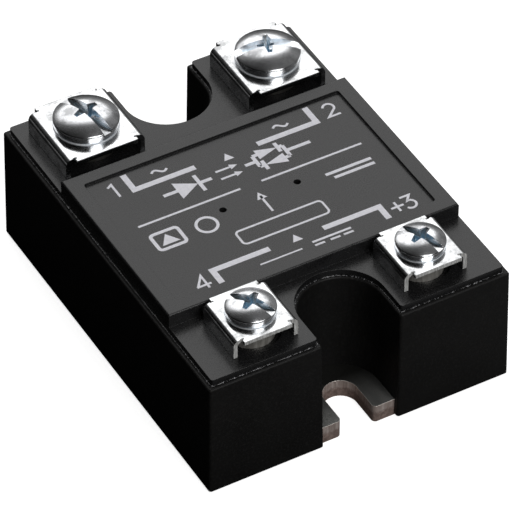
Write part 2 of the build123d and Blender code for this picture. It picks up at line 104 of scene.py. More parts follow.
# Studio and camera: angles in degrees, lengths in metres. Azimuth 0 is the front, -Y.
CAMERA_AZIMUTH = -29.5
CAMERA_ELEVATION = 42.7
CAMERA_DISTANCE = 0.5976
CAMERA_FOV = 6.57
CAMERA_TARGET = Vector((-0.56, -2.05, 10.3)) * MM
TENT_AZIMUTH = 157
TENT_ELEVATION = 43
TENT_HALF_WIDTH = 34
TENT_HALF_HEIGHT = 36
TENT_RADIANCE = 1.28
HORIZON_AZIMUTH = 130
HORIZON_ELEVATION = 10
HORIZON_GREY = 0.17
OVERHEAD_GREY = 0.02
BELOW_GREY = 0.6
LAMP_AZIMUTH = 5
LAMP_ELEVATION = 43
LAMP_DISTANCE = 0.9
LAMP_TARGET = Vector((0, 0, 15)) * MM
LAMP_WIDTH = 0.5
LAMP_HEIGHT = 0.8
LAMP_POWER = 3.8
FLOOR_GAP = 0.00002
FLOOR_GLOW = 0.8
FLOOR_DARK = (0.01, 0.01, 0.01)  # what metal mirrors of the floor under and beside the object
FLOOR_CARD = (0.2, 0.2, 0.2)  # and of the floor in front of it
FLOOR_CARD_AZIMUTH = 30
FLOOR_FAR = (0.22, 0.22, 0.22)  # and of the floor far from it


# ---------------------------------------------------------------- mesh helpers
def mesh_object(name, bm):
    """Turns a bmesh into an object with outward normals."""
    bmesh.ops.recalc_face_normals(bm, faces=bm.faces)
    mesh = bpy.data.meshes.new(name)
    bm.to_mesh(mesh)
    bm.free()
    piece = bpy.data.objects.new(name, mesh)
    bpy.context.scene.collection.objects.link(piece)
    return piece


def shade_by_angle(mesh, limit_deg=35.0):
    """Smooth shading that keeps edges sharper than the limit."""
    bm = bmesh.new()
    bm.from_mesh(mesh)
    limit = math.radians(limit_deg)
    for face in bm.faces:
        face.smooth = True
    for edge in bm.edges:
        edge.smooth = len(edge.link_faces) == 2 and edge.calc_face_angle() < limit
    bm.to_mesh(mesh)
    bm.free()


def revolve(bm, profile, steps):
    """Spins (radius, z) points about Z. The first and last points lie on the axis."""
    rings = []
    for radius, z in profile:
        if radius < 1e-9:
            rings.append([bm.verts.new((0, 0, z))])
            continue
        turn = [2 * math.pi * i / steps for i in range(steps)]
        rings.append([bm.verts.new((radius * math.cos(a), radius * math.sin(a), z)) for a in turn])
    for lower, upper in zip(rings, rings[1:]):
        for i in range(steps):
            j = (i + 1) % steps
            corners = [lower[i % len(lower)], lower[j % len(lower)]]
            corners += [upper[j % len(upper)], upper[i % len(upper)]]
            bm.faces.new(list(dict.fromkeys(corners)))


def prism(bm, outline, low, high, taper=1.0):
    """A closed prism over a flat outline of (x, y) points. taper scales the lower outline."""
    bottom = [bm.verts.new((x * taper, y * taper, low)) for x, y in outline]
    top = [bm.verts.new((x, y, high)) for x, y in outline]
    bm.faces.new(bottom[::-1])
    bm.faces.new(top)
    count = len(outline)
    for i in range(count):
        j = (i + 1) % count
        bm.faces.new((bottom[i], bottom[j], top[j], top[i]))


def cut(piece, cutter):
    """Takes the cutter's shape out of the piece, for good."""
    modifier = piece.modifiers.new("cut", "BOOLEAN")
    modifier.operation = "DIFFERENCE"
    modifier.solver = "EXACT"
    modifier.object = cutter
    graph = bpy.context.evaluated_depsgraph_get()
    piece.data = bpy.data.meshes.new_from_object(piece.evaluated_get(graph))
    piece.modifiers.clear()
    bpy.data.objects.remove(cutter)


def arc(cx, cy, radius, start_deg, end_deg, steps=14):
    """Points along a circular arc."""
    angles = [math.radians(start_deg + (end_deg - start_deg) * i / steps) for i in range(steps + 1)]
    return [(cx + radius * math.cos(a), cy + radius * math.sin(a)) for a in angles]


# ---------------------------------------------------------------- node helpers
def grey(value):
    """A neutral colour."""
    return (value, value, value)


def new_material(name, **settings):
    """A Principled material. settings are its inputs, with _ for spaces."""
    material = bpy.data.materials.new(name)
    material.use_nodes = True
    shader = material.node_tree.nodes["Principled BSDF"]
    for key, value in settings.items():
        shader.inputs[key.replace("_", " ")].default_value = value
    return material, material.node_tree, shader


def add(tree, kind, operation=None, **settings):
    """Adds a node and sets its inputs by name, with _ for spaces."""
    node = tree.nodes.new("ShaderNode" + kind)
    if operation:
        node.operation = operation
    for key, value in settings.items():
        node.inputs[key.replace("_", " ")].default_value = value
    return node


def texture(tree, kind, scale_mm, stretch=(1, 1, 1), **settings):
    """A texture whose features are about scale_mm across, in the object's own coordinates."""
    place = tree.nodes.new("ShaderNodeTexCoord")
    mapping = add(tree, "Mapping", Scale=Vector(stretch))
    tree.links.new(place.outputs["Object"], mapping.inputs["Vector"])
    node = add(tree, "Tex" + kind, Scale=1 / (scale_mm * MM), **settings)
    tree.links.new(mapping.outputs["Vector"], node.inputs["Vector"])
    return node


def value_range(tree, source, low, high, from_low=0.3, from_high=0.7):
    """Maps a texture's value to low..high."""
    node = add(tree, "MapRange", From_Min=from_low, From_Max=from_high, To_Min=low, To_Max=high)
    tree.links.new(source, node.inputs["Value"])
    return node.outputs["Result"]


def blend_colours(tree, factor, first, second):
    """A colour that goes from first to second with the factor."""
    node = tree.nodes.new("ShaderNodeMix")
    node.data_type = "RGBA"
    tree.links.new(factor, node.inputs["Factor"])
    for socket, colour in (("A", first), ("B", second)):
        target = [s for s in node.inputs if s.name == socket and s.type == "RGBA"][0]
        if isinstance(colour, (tuple, list)):
            target.default_value = (*colour, 1.0)
        else:
            tree.links.new(colour, target)
    return [s for s in node.outputs if s.type == "RGBA"][0]


def rounded_normal(tree, edge_mm):
    """The surface normal as if every edge were rounded by edge_mm."""
    edge = add(tree, "Bevel", Radius=edge_mm * MM)
    edge.samples = SOFT_SAMPLES
    return edge.outputs["Normal"]


def bump(tree, shader, height, strength, depth_mm, edge_mm=0.0):
    """Surface relief from a height, over edges rounded by edge_mm."""
    node = add(tree, "Bump", Strength=strength, Distance=depth_mm * MM)
    tree.links.new(height, node.inputs["Height"])
    if edge_mm:
        tree.links.new(rounded_normal(tree, edge_mm), node.inputs["Normal"])
    tree.links.new(node.outputs["Normal"], shader.inputs["Normal"])


def combine(tree, operation, first, second):
    """One value from two, by a Math operation. Either may be a plain number."""
    node = add(tree, "Math", operation)
    for socket, value in zip(node.inputs, (first, second)):
        if isinstance(value, (int, float)):
            socket.default_value = value
        else:
            tree.links.new(value, socket)
    return node.outputs["Value"]


def magnitude(tree, value):
    """The value without its sign."""
    node = add(tree, "Math", "ABSOLUTE")
    tree.links.new(value, node.inputs[0])
    return node.outputs["Value"]


def position(tree):
    """X, Y and Z sockets of the point in the object's own coordinates, in metres."""
    place = tree.nodes.new("ShaderNodeTexCoord")
    split = tree.nodes.new("ShaderNodeSeparateXYZ")
    tree.links.new(place.outputs["Object"], split.inputs["Vector"])
    return split.outputs


def facing(tree, axis, from_low, from_high):
    """1 where the surface looks along the axis, either way, 0 elsewhere."""
    geometry = tree.nodes.new("ShaderNodeNewGeometry")
    split = tree.nodes.new("ShaderNodeSeparateXYZ")
    tree.links.new(geometry.outputs["True Normal"], split.inputs["Vector"])
    return value_range(tree, magnitude(tree, split.outputs[axis]), 0, 1, from_low, from_high)


def add_values(tree, first, second, share):
    """first + share * second."""
    node = add(tree, "Math", "MULTIPLY_ADD")
    tree.links.new(second, node.inputs[0])
    node.inputs[1].default_value = share
    tree.links.new(first, node.inputs[2])
    return node.outputs["Value"]


def edge_wear_and_reflection(tree, edge_mm):
    """1 along edges, 0 on flat faces: how far a rounded normal leans from the true one. Marks wear,
    and painted dark reflection.
    """
    geometry = tree.nodes.new("ShaderNodeNewGeometry")
    dot = add(tree, "VectorMath", "DOT_PRODUCT")
    tree.links.new(rounded_normal(tree, edge_mm), dot.inputs[0])
    tree.links.new(geometry.outputs["Normal"], dot.inputs[1])
    return value_range(tree, dot.outputs["Value"], 1.0, 0.0, 0.80, 0.99)


# ---------------------------------------------------------------- materials
def moulded_plastic(name, colour, worn_colour, roughness, shine, grain_mm, grain, edge_mm):
    """Glass-filled black thermoplastic: fine spark-eroded grain, faint mottling, rubbed edges."""
    material, tree, shader = new_material(name, Specular_IOR_Level=shine)
    cloud = texture(tree, "Noise", 6.0, Detail=4.0)
    speckle = texture(tree, "Noise", grain_mm, Detail=3.0, Roughness=0.6)
    cloudy = value_range(tree, cloud.outputs["Fac"], 0, 1)
    mottled = blend_colours(tree, cloudy, colour, [c * 1.35 for c in colour])
    fleck = value_range(tree, speckle.outputs["Fac"], 0, 1, 0.5, 0.75)
    flecked = blend_colours(tree, fleck, mottled, [c * 2.2 for c in colour])
    worn = blend_colours(tree, edge_wear_and_reflection(tree, edge_mm), flecked, worn_colour)
    rough = value_range(tree, speckle.outputs["Fac"], roughness - 0.08, roughness + 0.10)
    tree.links.new(worn, shader.inputs["Base Color"])
    tree.links.new(rough, shader.inputs["Roughness"])
    bump(tree, shader, speckle.outputs["Fac"], grain, 0.02, edge_mm=edge_mm)
    return material


def glossy_sealant():
    """Glossy black sealant with pale specks along it: painted glints."""
    material, tree, shader = new_material("sealant", Roughness=0.12, Specular_IOR_Level=0.6)
    cloud = texture(tree, "Noise", 1.2, Detail=3.0)
    speck_noise = texture(tree, "Noise", 0.2, Detail=1.0)
    black = blend_colours(tree, cloud.outputs["Fac"], grey(0.004), (0.015, 0.015, 0.016))
    # Painted highlight: pale specks stand in for glints along the seam.
    glint_specks = value_range(tree, speck_noise.outputs["Fac"], 0, 1, 0.56, 0.64)
    glinted = blend_colours(tree, glint_specks, black, (0.26, 0.26, 0.27))
    tree.links.new(glinted, shader.inputs["Base Color"])
    bump(tree, shader, cloud.outputs["Fac"], 0.5, 0.05)
    return material


def bright_zinc(name, colour, hollow_shade, roughness, edge_mm, rim=None, flange_z=None, sheared=False):
    """Bright zinc plate: a wavy mirror with fine pits, faint smudges and painted shade in its
    hollows.

    With rim, edges take that colour: a painted dark reflection, as rounded edges mirror dark
    surroundings.
    With flange_z, a pale, rougher band marks the flange that stands there: a painted highlight line
    along the head's foot.
    With sheared, faces that look along Y are cut edges: pale, rough, with upright drag lines.
    """
    material, tree, shader = new_material(name, Metallic=1.0)
    # Painted shade: where ambient occlusion finds a hollow, the colour goes towards hollow_shade.
    hollow = add(tree, "AmbientOcclusion", Distance=1.6 * MM)
    hollow.samples = SOFT_SAMPLES
    shade = value_range(tree, hollow.outputs["AO"], 1.0, 0.0, 0.15, 0.48)
    smudge = texture(tree, "Noise", 2.4, Detail=6.0, Roughness=0.65)
    dull = value_range(tree, smudge.outputs["Fac"], 0.0, 1.0, 0.46, 0.62)
    plate = blend_colours(tree, dull, colour, [c * 0.55 for c in colour])
    base = blend_colours(tree, shade, plate, hollow_shade)
    rough = value_range(tree, smudge.outputs["Fac"], roughness, roughness * 1.7, 0.45, 0.75)
    rough = add_values(tree, rough, shade, HOLLOW_ROUGHNESS)

    wave = texture(tree, "Noise", 3.0, Detail=2.0)
    pits = texture(tree, "Noise", 0.14, Detail=2.0)
    relief = add_values(tree, wave.outputs["Fac"], pits.outputs["Fac"], 0.10)
    bump(tree, shader, relief, 0.3, 0.08, edge_mm=edge_mm)

    # Painted reflection: edges take the dark rim colour, as rounded edges mirror dark surroundings.
    if rim:
        base = blend_colours(tree, edge_wear_and_reflection(tree, 2 * edge_mm), base, rim)
    if flange_z:
        # Painted highlight: a pale band at the flange's height makes the head's foot read as a
        # bright line.
        height = combine(tree, "MULTIPLY", position(tree)["Z"], 1 / MM)
        band = add(tree, "Math", "COMPARE")
        tree.links.new(height, band.inputs[0])
        band.inputs[1].default_value = flange_z / MM + FLANGE_HEIGHT / 2
        band.inputs[2].default_value = FLANGE_HEIGHT / 2
        base = blend_colours(tree, band.outputs["Value"], base, (0.95, 0.96, 0.98))
        rough = add_values(tree, rough, band.outputs["Value"], 0.4)
    if sheared:
        is_cut = facing(tree, "Y", 0.85, 0.95)
        drag = texture(tree, "Noise", 0.16, stretch=UPRIGHT, Detail=4.0)
        drag_lines = value_range(tree, drag.outputs["Fac"], 0, 1)
        streaks = blend_colours(tree, drag_lines, (0.35, 0.35, 0.34), (0.95, 0.95, 0.93))
        base = blend_colours(tree, is_cut, base, streaks)
        tree.links.new(combine(tree, "SUBTRACT", 1.0, is_cut), shader.inputs["Metallic"])
        rough = add_values(tree, rough, is_cut, 0.35)
    tree.links.new(base, shader.inputs["Base Color"])
    tree.links.new(rough, shader.inputs["Roughness"])
    return material


def sheared_edge(tree, drag, torn, height, thickness):
    """The plate's warm cut edge: a burnished band with upright drag lines over a torn one."""
    wavy_height = add_values(tree, height, torn, 0.8 * MM)
    is_burnished = value_range(tree, wavy_height, 0, 1, 0.62 * thickness, 0.78 * thickness)
    drag_lines = value_range(tree, drag, 0, 1)
    burnished = blend_colours(tree, drag_lines, (0.62, 0.48, 0.42), (1.0, 0.88, 0.82))
    tears = value_range(tree, torn, 0, 1)
    fracture = blend_colours(tree, tears, (0.30, 0.21, 0.18), (0.78, 0.60, 0.53))
    return blend_colours(tree, is_burnished, fracture, burnished)


def plated_base():
    """Base plate: grey rolled faces, painted shade on the top towards the middle, warm sheared
    edges and a worn rim.
    """
    material, tree, shader = new_material("plated_base", Metallic=0.55)
    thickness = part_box("base_plate")[1].z
    place = position(tree)
    rolled = texture(tree, "Noise", 2.5, stretch=(1.0, 0.15, 1.0), Detail=6.0)
    drag = texture(tree, "Noise", 0.35, stretch=UPRIGHT, Detail=5.0)
    torn = texture(tree, "Noise", 0.5, Detail=6.0, Roughness=0.7)

    edge = sheared_edge(tree, drag.outputs["Fac"], torn.outputs["Fac"], place["Z"], thickness)
    grain = value_range(tree, rolled.outputs["Fac"], 0, 1)
    face = blend_colours(tree, grain, (0.10, 0.105, 0.10), (0.26, 0.26, 0.25))
    # Painted shade: the top half is dark nearer the middle, where the notches lie in shadow, and
    # plain towards the ends.
    upper = value_range(tree, place["Z"], 0, 1, 0.4 * thickness, 0.5 * thickness)
    at_ends = value_range(tree, magnitude(tree, place["Y"]), 0, 1, *PLATE_NOTCH_SHADE)
    out_of_shade = combine(tree, "MAXIMUM", at_ends, combine(tree, "SUBTRACT", 1.0, upper))
    shaded_plate = blend_colours(tree, out_of_shade, (0.02, 0.02, 0.018), face)
    plate = blend_colours(tree, facing(tree, "Z", 0.3, 0.7), edge, shaded_plate)
    upper_wear = combine(tree, "MULTIPLY", edge_wear_and_reflection(tree, 0.16), upper)
    rubbed = blend_colours(tree, upper_wear, plate, (1.0, 0.93, 0.86))

    tree.links.new(rubbed, shader.inputs["Base Color"])
    tree.links.new(value_range(tree, drag.outputs["Fac"], 0.35, 0.6), shader.inputs["Roughness"])
    bump(tree, shader, torn.outputs["Fac"], 0.4, 0.08, edge_mm=0.12)
    return material


def plated_post(name, dark, pale):
    """Nickel plate over turned brass: dull grey with upright streaks."""
    material, tree, shader = new_material(name, Metallic=0.55)
    streak = texture(tree, "Noise", 0.3, stretch=(1.0, 1.0, 0.15), Detail=5.0)
    streaky = value_range(tree, streak.outputs["Fac"], 0, 1)
    colour = blend_colours(tree, streaky, dark, pale)
    tree.links.new(colour, shader.inputs["Base Color"])
    tree.links.new(value_range(tree, streak.outputs["Fac"], 0.3, 0.5), shader.inputs["Roughness"])
    bump(tree, shader, streak.outputs["Fac"], 0.3, 0.03, edge_mm=0.1)
    return material


def printed_ink():
    """Pad-printed silver-white ink with pinholes and slightly uneven cover."""
    material, tree, shader = new_material("printed_ink", Roughness=0.5, Specular_IOR_Level=0.4)
    cover = texture(tree, "Noise", 0.5, Detail=5.0, Roughness=0.7)
    patchy = value_range(tree, cover.outputs["Fac"], 0, 1)
    colour = blend_colours(tree, patchy, (0.76, 0.76, 0.82), (0.94, 0.93, 0.98))
    tree.links.new(colour, shader.inputs["Base Color"])
    bump(tree, shader, cover.outputs["Fac"], 0.2, 0.02)
    return material


def plain_surface(name, first, second, metallic, roughness, grain_mm, coat=0.0):
    """A material with cloudy colour and fine relief, for the pieces inside the case."""
    material, tree, shader = new_material(name, Metallic=metallic, Coat_Weight=coat)
    grain = texture(tree, "Noise", grain_mm, Detail=5.0)
    colour = blend_colours(tree, grain.outputs["Fac"], first, second)
    rough = value_range(tree, grain.outputs["Fac"], roughness * 0.8, roughness * 1.2)
    tree.links.new(colour, shader.inputs["Base Color"])
    tree.links.new(rough, shader.inputs["Roughness"])
    bump(tree, shader, grain.outputs["Fac"], 0.2, 0.04, edge_mm=0.08)
    return material


def board_laminate():
    """Green solder mask over a regular pattern of copper tracks."""
    material, tree, shader = new_material("board_laminate", Roughness=0.3, Coat_Weight=0.4)
    tracks = texture(tree, "Brick", 2.5)
    tracks.inputs["Mortar Size"].default_value = 0.06
    weave = texture(tree, "Noise", 0.4, Detail=3.0)
    green = blend_colours(tree, weave.outputs["Fac"], (0.01, 0.10, 0.035), (0.02, 0.16, 0.06))
    raised = blend_colours(tree, tracks.outputs["Fac"], green, (0.05, 0.28, 0.10))
    tree.links.new(raised, shader.inputs["Base Color"])
    bump(tree, shader, tracks.outputs["Fac"], 0.3, 0.04)
    return material


def paint(node, material):
    """Gives a piece or a CAD node one material."""
    node.data.materials.clear()
    node.data.materials.append(material)


def paint_outside_nodes(nodes):
    """Materials of the housing, the posts and the clamps."""
    case_black = (0.008, 0.0078, 0.0076)
    cover_black = (0.010, 0.010, 0.0104)
    case = moulded_plastic("case_plastic", case_black, grey(0.014), 0.45, 0.2, 0.35, 0.8, 0.06)
    cover = moulded_plastic("cover_plastic", cover_black, grey(0.03), 0.27, 0.5, 0.2, 0.5, 0.08)
    paint(nodes["case"], case)
    paint(nodes["cover"], cover)
    paint(nodes["cover_seal"], SEALANT)
    paint(nodes["base_plate"], plated_base())
    for hand in HANDS:
        # The output posts take the darker copy of the plating: painted shade.
        paint(nodes[f"output_post_{hand}"], SHADED_POST)
        paint(nodes[f"input_post_{hand}"], PLATED_POST)
        paint(nodes[f"output_clamp_{hand}"], ZINC_CLAMP)
        paint(nodes[f"input_clamp_{hand}"], ZINC_CLAMP_SHEARED)


def paint_inside_nodes(nodes):
    """Materials of the power stage, the circuit board and the potting compound."""
    resin = plain_surface("potting_resin", grey(0.01), grey(0.03), 0, 0.25, 2.0, 0.3)
    solder = plain_surface("solder", grey(0.45), grey(0.62), 1, 0.45, 0.8)
    ceramic = plain_surface("ceramic", (0.78, 0.77, 0.73), (0.9, 0.89, 0.86), 0, 0.6, 0.3)
    white = plain_surface("opto_body", (0.72, 0.71, 0.67), (0.85, 0.84, 0.8), 0, 0.45, 0.2)
    red = plain_surface("capacitor", (0.40, 0.04, 0.03), (0.55, 0.07, 0.05), 0, 0.3, 0.9)
    blue = plain_surface("resistor", (0.2, 0.3, 0.42), (0.3, 0.42, 0.55), 0, 0.4, 0.5)
    black = plain_surface("component_black", grey(0.012), grey(0.03), 0, 0.5, 0.2)
    copper = plain_surface("copper", (0.65, 0.30, 0.18), (0.86, 0.45, 0.30), 1, 0.32, 0.6)
    tinned = plain_surface("tinned_copper", (0.6, 0.59, 0.56), (0.78, 0.77, 0.74), 1, 0.3, 0.5)
    silicon = plain_surface("silicon", (0.10, 0.10, 0.13), (0.2, 0.2, 0.26), 0.6, 0.12, 1.5)
    looks = {
        "potting_compound": resin,
        "solder_layer": solder,
        "ceramic_substrate": ceramic,
        "circuit_board": board_laminate(),
        "gate_pins": PLATED_POST,
        "optocoupler": white,
        "snubber_capacitor": red,
        "snubber_resistor": blue,
        "chip_resistors": black,
        "protection_diode": black,
        "input_transistor": black,
    }
    for hand in HANDS:
        looks[f"copper_pad_{hand}"] = copper
        looks[f"cathode_clip_{hand}"] = copper
        looks[f"output_busbar_{hand}"] = tinned
        looks[f"input_lead_{hand}"] = tinned
        looks[f"thyristor_die_{hand}"] = silicon
    for name, material in looks.items():
        paint(nodes[name], material)


# ---------------------------------------------------------------- screws
def head_profile(radius, height, side):
    """(radius, z) points of a domed head, from the underside's centre to the crown.

    A thin flange at the foot, an upright side, a round shoulder and a flat dome.
    """
    flange_r = radius - FLANGE_SETBACK
    shoulder_x = radius - SHOULDER_R
    shoulder_z = side - SHOULDER_DROP
    rim_slope = math.degrees(math.atan2(2 * (height - side), radius))
    profile = [(0.0, 0.0), (radius / 2, 0.0)]
    profile += arc(flange_r - FOOT_R, FOOT_R, FOOT_R, -90, 0, 3)
    profile += [(flange_r, FLANGE_HEIGHT - FLANGE_EDGE), (flange_r - FLANGE_EDGE, FLANGE_HEIGHT)]
    profile.append((flange_r - FLANGE_WIDTH, FLANGE_HEIGHT))
    profile += arc(shoulder_x, shoulder_z, SHOULDER_R, 0, 90 - rim_slope, 8)
    start_r, start_z = profile[-1]
    steps = 14
    for i in range(1, steps + 1):
        r = start_r * (1 - i / steps)
        profile.append((max(r, 0.0), start_z + (height - start_z) * (1 - (r / start_r) ** 2)))
    return profile


def cross_outline(reach, root, tip):
    """A plus sign whose arms narrow from half width root at the middle to tip at their ends."""
    points = []
    for quarter in range(4):
        c, s = math.cos(quarter * math.pi / 2), math.sin(quarter * math.pi / 2)
        for x, y in ((root, -root), (reach, -tip), (reach, tip)):
            points.append((x * c - y * s, x * s + y * c))
    return points


def threaded_shank(bm, radius, length, top_z):
    """A rod with a rolled V thread, its crests at the given radius, and a pointed start."""
    steps = 48
    rows_per_turn = 10
    depth = 0.6 * THREAD_PITCH
    crest_cut = 1.25  # over 1, so that the crests are flat
    run_out = 1.0
    point_cut = 0.75  # how much smaller the point's end is than the shank
    rows = int(length / THREAD_PITCH * rows_per_turn)
    rings = []
    for row in range(rows + 1):
        down = row / rows * length
        ring = []
        for i in range(steps):
            turn = i / steps
            phase = (down / THREAD_PITCH + turn) % 1.0
            crest = 1 - abs(2 * phase - 1)
            fade = min(1.0, down / run_out)
            r = radius - depth * (1 - min(1.0, crest * crest_cut)) * fade
            r = min(r, radius - point_cut + (length - down))
            angle = 2 * math.pi * turn
            ring.append(bm.verts.new((r * math.cos(angle), r * math.sin(angle), top_z - down)))
        rings.append(ring)
    for upper, lower in zip(rings, rings[1:]):
        for i in range(steps):
            j = (i + 1) % steps
            bm.faces.new((upper[i], lower[i], lower[j], upper[j]))
    bm.faces.new(rings[0])
    bm.faces.new(rings[-1][::-1])


def build_screw(end, hand):
    """One terminal screw, standing on its clamp, turned as the CAD screw is."""
    node = f"{end}_screw_{hand}"
    spec = SCREWS[end]
    low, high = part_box(node)
    seat_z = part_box(f"{end}_clamp_{hand}")[1].z
    radius = (high.x - low.x) / 2 / MM
    height = (high.z - seat_z) / MM

    bm = bmesh.new()
    revolve(bm, head_profile(radius, height, spec["side"]), 96)
    head = mesh_object(f"{node}_threaded", bm)

    bm = bmesh.new()
    half = spec["slot_width"] / 2
    reach = radius + 0.5
    slot = [(-reach, -half), (reach, -half), (reach, half), (-reach, half)]
    prism(bm, slot, height - spec["slot_depth"], height + 1)
    cut(head, mesh_object("slot_cutter", bm))
    bm = bmesh.new()
    outline = cross_outline(spec["cross"], CROSS_ROOT, CROSS_TIP)
    prism(bm, outline, height - spec["cross_depth"], height + 0.1, CROSS_TAPER)
    cut(head, mesh_object("cross_cutter", bm))

    bm = bmesh.new()
    bm.from_mesh(head.data)
    shank_length = (seat_z - low.z) / MM
    threaded_shank(bm, spec["shank_r"], shank_length + 0.1, 0.1)
    centre = Vector(((low.x + high.x) / 2, (low.y + high.y) / 2, seat_z))
    turn = Matrix.Rotation(math.radians(SLOT_ANGLE[f"{end}_{hand}"]), 4, "Z")
    bm.transform(Matrix.Translation(centre) @ turn @ Matrix.Scale(MM, 4))
    bm.to_mesh(head.data)
    bm.free()
    shade_by_angle(head.data)
    paint(head, ZINC_SCREW[end])
    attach(head, f"{node}_body")
    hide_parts(node)


# ---------------------------------------------------------------- printed legend
def stroke(bm, points, width, low, high, closed=False):
    """A flat ribbon of ink along a path, mitred at its corners."""
    count = len(points)
    left, right = [], []
    for i, (x, y) in enumerate(points):
        before = points[i - 1] if closed or i > 0 else None
        after = points[(i + 1) % count] if closed or i < count - 1 else None
        here = Vector((x, y))
        out = (Vector(after) - here).normalized() if after else None
        into = (here - Vector(before)).normalized() if before else out
        if out is None:
            out = into
        normal = Vector((-(into.y + out.y), into.x + out.x)).normalized()
        reach = width / 2 / max(0.35, normal.dot(Vector((-into.y, into.x))))
        left.append(here + normal * reach)
        right.append(here - normal * reach)
    segments = count if closed else count - 1
    left_low, left_high, right_low, right_high = [
        [bm.verts.new((p.x, p.y, z)) for p in side] for side in (left, right) for z in (low, high)
    ]
    for i in range(segments):
        j = (i + 1) % count
        bm.faces.new((left_high[i], right_high[i], right_high[j], left_high[j]))
        bm.faces.new((left_low[j], right_low[j], right_low[i], left_low[i]))
        bm.faces.new((left_low[i], left_high[i], left_high[j], left_low[j]))
        bm.faces.new((right_low[j], right_high[j], right_high[i], right_low[i]))
    if not closed:
        bm.faces.new((left_low[0], right_low[0], right_high[0], left_high[0]))
        bm.faces.new((left_high[-1], right_high[-1], right_low[-1], left_low[-1]))


NUMERALS = {
    "1": [[(-0.22, 0.34), (0.06, 0.5), (0.06, -0.5)]],
    "2": [arc(0, 0.2, 0.3, 160, -35, 12) + [(-0.32, -0.46), (0.36, -0.46)]],
    "3": [[(-0.28, 0.46), (0.26, 0.46), (-0.02, 0.1)] + arc(0, -0.18, 0.3, 80, -150, 12)],
    "4": [[(0.14, -0.5), (0.14, 0.48), (-0.36, -0.2)], [(-0.42, -0.2), (0.38, -0.2)]],
    "+": [[(-0.36, 0), (0.36, 0)], [(0, -0.36), (0, 0.36)]],
}


def legend_strokes():
    """Every stroke of the panel's print, as (points, width) in millimetres from the origin."""
    thin, line, bold = 0.25, 0.34, 0.86
    strokes = []

    def place(shapes, x, y, scale, width):
        for shape in shapes:
            strokes.append(([(x + px * scale, y + py * scale) for px, py in shape], width))

    # Terminal numbers, and the plus sign of the input.
    numeral_height = 2.65
    signs = (
        ("1", -16.35, 8.1), ("2", 16.8, 8.25), ("4", -14.8, -13.2), ("3", 16.5, -12.9),
        ("+", 14.7, -12.98),
    )
    for text, x, y in signs:
        place(NUMERALS[text], x, y, numeral_height, line)

    # Brackets that lead from each terminal towards the middle.
    for side in (-1, 1):
        strokes.append(([(side * 13.95, 10.35), (side * 13.95, 7.03), (side * 4.75, 7.03)], bold))
        strokes.append(([(side * 12.6, -14.85), (side * 12.6, -11.8), (side * 4.05, -11.8)], bold))

    # Alternating current at the output, direct current at the input.
    wave = [(t / 8 - 1, 0.3 * math.sin(math.pi * t / 8)) for t in range(17)]
    for side in (-1, 1):
        place([wave], side * 9.3, 8.75, 1.15, line)
    strokes.append(([(1.45, -13.48), (7.3, -13.48)], line))
    for x in (1.45, 3.8, 5.8):
        strokes.append(([(x, -14.2), (x + 1.5, -14.2)], line))

    # Circuit sketch: a light-emitting diode that triggers two thyristors in inverse parallel.
    row, heavy = 4.0, 0.55
    rails = (
        [(-11.2, 0), (-8.9, 0)], [(-5.9, 0), (-3.9, 0)], [(-5.75, -1.7), (-5.75, 1.7)],
        [(1.2, 0), (2.9, 0)], [(2.9, -1.15), (2.9, 1.15)],
        [(7.5, -1.15), (7.5, 1.15)], [(7.5, 0), (11.2, 0)],
        [(2.9, 1.15), (3.6, 1.15)], [(6.7, 1.15), (7.5, 1.15)],
        [(2.9, -1.15), (3.7, -1.15)], [(6.8, -1.15), (7.5, -1.15)],
        [(6.8, 0.2), (6.8, 2.1)], [(3.6, -0.2), (3.6, -2.1)],
    )
    for rail in rails:
        strokes.append(([(x, y + row) for x, y in rail], heavy))
    for y in (0.8, -0.8):
        strokes.append(([(-2.9, row + y), (-0.6, row + y)], line))

    # Rules and a blank rating field.
    strokes.append(([(-17.0, 0.3), (-1.6, 0.3)], line))
    strokes.append(([(1.6, 0.3), (17.0, 0.3)], line))
    for y, start in ((-2.9, 9.6), (-3.9, 10.4)):
        strokes.append(([(start, y), (16.6, y)], 0.5))
    strokes.append(([(0, -5.6), (0, -2.2)], line))
    strokes.append(([(-6.6, -13.9), (-0.3, -13.9)], thin))
    return strokes


def rounded_rectangle(cx, cy, width, height, radius):
    """Points round a rectangle with rounded corners."""
    corners = ((1, 1, 0), (-1, 1, 90), (-1, -1, 180), (1, -1, 270))
    points = []
    for sx, sy, start in corners:
        corner_x = cx + sx * (width / 2 - radius)
        corner_y = cy + sy * (height / 2 - radius)
        points += arc(corner_x, corner_y, radius, start, start + 90, 5)
    return points


def legend_outlines():
    """Closed loops of the print."""
    return [
        (rounded_rectangle(0, -8.2, 13.0, 2.7, 0.6), 0.32),
        (rounded_rectangle(-14.6, -3.6, 4.0, 3.2, 0.5), 0.5),
        (arc(-8.9, -3.7, 1.45, 0, 345, 30), 0.42),
    ]


def legend_solids():
    """Filled shapes of the print, each a list of corner points."""
    row = 4.0
    triangles = [
        [(-9.1, row - 1.7), (-6.0, row), (-9.1, row + 1.7)],
        [(3.6, row + 0.2), (6.7, row + 1.15), (3.6, row + 2.1)],
        [(6.8, row - 0.2), (3.7, row - 1.15), (6.8, row - 2.1)],
    ]
    for x, y in ((0, 6.75), (0, -11.7), (0, -2.2)):
        triangles.append([(x - 0.75, y - 0.6), (x + 0.75, y - 0.6), (x, y + 0.75)])
    for y in (0.8, -0.8):
        triangles.append([(-0.7, row + y - 0.5), (0.4, row + y), (-0.7, row + y + 0.5)])
    triangles.append([(-15.9, -4.5), (-13.3, -4.5), (-14.6, -2.6)])
    return triangles


